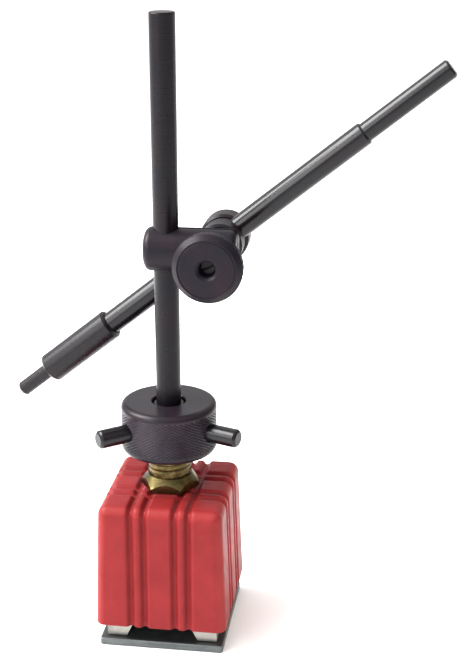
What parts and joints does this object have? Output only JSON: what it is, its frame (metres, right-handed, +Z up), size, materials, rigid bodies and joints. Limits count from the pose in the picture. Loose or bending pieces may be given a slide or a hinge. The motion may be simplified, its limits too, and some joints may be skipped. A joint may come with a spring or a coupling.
{
  "type": "indicator stand on a magnetic base",
  "caption": "Indicator stand: ribbed magnetic base with keeper and capstan push-off, round post, swivel clamp with knob and a stepped sliding arm.",
  "frame": {"origin": "centre of the keeper's resting face, on the post's axis", "axes": "+Z up the post; +X from the post towards the clamp stud; -Y towards the knob"},
  "size_m": [0.2258, 0.0776, 0.3235],
  "materials": {
    "red_enamel": "soft gloss enamel, slightly uneven",
    "plain_steel": "ground bare steel",
    "keeper_steel": "cold-rolled bare steel",
    "magnet_metal": "cast magnet alloy, as cast",
    "gap_resin": "black potting resin",
    "aged_brass": "machined brass, slightly tarnished",
    "blued_steel": "black oxide over turned steel, satin",
    "knurled_steel": "black oxide over diamond knurl",
    "bright_steel": "turned steel"
  },
  "bodies": {
    "base": {"base_housing": "red_enamel", "left_pole": "plain_steel", "right_pole": "plain_steel", "front_magnet": "magnet_metal", "rear_magnet": "magnet_metal", "gap_plate": "gap_resin", "spindle_bush": "aged_brass", "guide_pin": "bright_steel"},
    "keeper": {"keeper_plate": "keeper_steel"},
    "jack": {"jack_spindle": "blued_steel", "push_off_foot": "aged_brass", "spindle_clip": "blued_steel"},
    "capstan": {"capstan_collar": "knurled_steel", "tommy_pin_1": "blued_steel", "tommy_pin_2": "blued_steel", "tommy_pin_3": "blued_steel"},
    "post": {"post": "blued_steel"},
    "clamp": {"clamp_bar": "blued_steel"},
    "arm_head": {"arm_stud": "blued_steel", "arm_saddle": "blued_steel"},
    "washer": {"knob_washer": "blued_steel"},
    "knob": {"clamp_knob": "knurled_steel"},
    "arm": {"arm_rod": "blued_steel", "arm_sleeve": "blued_steel", "sleeve_screw": "bright_steel", "arm_spigot": "blued_steel"}
  },
  "joints": [
    {"name": "keeper_slide", "type": "slide", "parent": "base", "child": "keeper", "axis": [0, -1, 0], "range_m": [0, 0.075]},
    {"name": "jack_slide", "type": "slide", "parent": "base", "child": "jack", "axis": [0, 0, -1], "range_m": [0, 0.0075]},
    {"name": "capstan_turn", "type": "hinge", "parent": "jack", "child": "capstan", "pos_m": [0, 0, 0.1134], "axis": [0, 0, -1], "range_deg": [0, 905]},
    {"name": "post_swivel", "type": "hinge", "parent": "jack", "child": "post", "pos_m": [0, 0, 0.2078], "axis": [0, 0, 1], "continuous": true},
    {"name": "clamp_height", "type": "slide", "parent": "post", "child": "clamp", "axis": [0, 0, 1], "range_m": [-0.029, 0.101]},
    {"name": "arm_tilt", "type": "hinge", "parent": "clamp", "child": "arm_head", "pos_m": [0.0258, 0.0228, 0.2078], "axis": [0, -1, 0], "range_deg": [-90, 10]},
    {"name": "arm_slide", "type": "slide", "parent": "arm_head", "child": "arm", "axis": [0.7804, 0, 0.6252], "range_m": [-0.0735, 0.06]},
    {"name": "knob_back_off", "type": "slide", "parent": "arm_head", "child": "washer", "axis": [0, -1, 0], "range_m": [0, 0.0024]},
    {"name": "knob_turn", "type": "hinge", "parent": "washer", "child": "knob", "pos_m": [0.0258, -0.0305, 0.2078], "axis": [0, -1, 0], "range_deg": [0, 695]}
  ],
  "couplings": [
    {"joint": "capstan_turn", "follows": "jack_slide", "rad_per_m": 2094.4},
    {"joint": "knob_turn", "follows": "knob_back_off", "rad_per_m": 5026.5}
  ]
}
